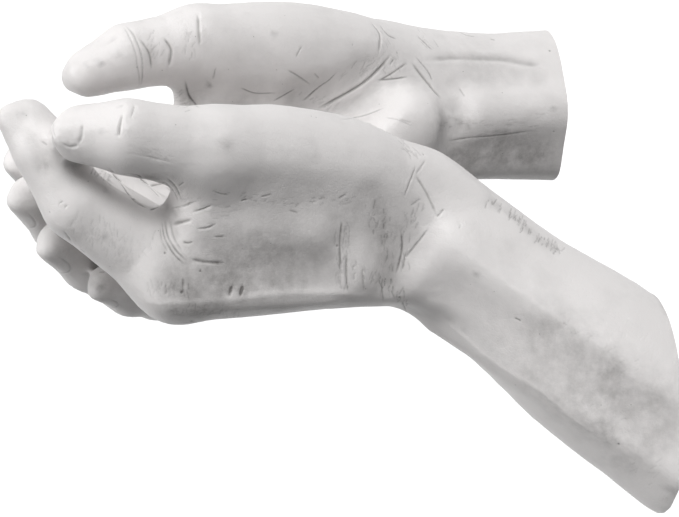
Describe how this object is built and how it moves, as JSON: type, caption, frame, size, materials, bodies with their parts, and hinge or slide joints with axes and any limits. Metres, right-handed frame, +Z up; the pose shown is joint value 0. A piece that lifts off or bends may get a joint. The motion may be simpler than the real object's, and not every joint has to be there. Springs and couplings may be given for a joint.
{
  "type": "wall sculpture",
  "caption": "Life-size cast of two cupped hands with forearms that end flat at the wall, palms up to hold small things.",
  "frame": {"origin": "centre of the left forearm's flat end face, on the wall", "axes": "+Y into the wall, so the hands reach out along -Y; +X to the right when you face the wall; +Z up"},
  "size_m": [0.1977, 0.2326, 0.181],
  "materials": {
    "white_cast": "satin white with a grey wash in the hollows"
  },
  "bodies": {
    "root": {"cupped_hands": "white_cast"}
  },
  "joints": []
}
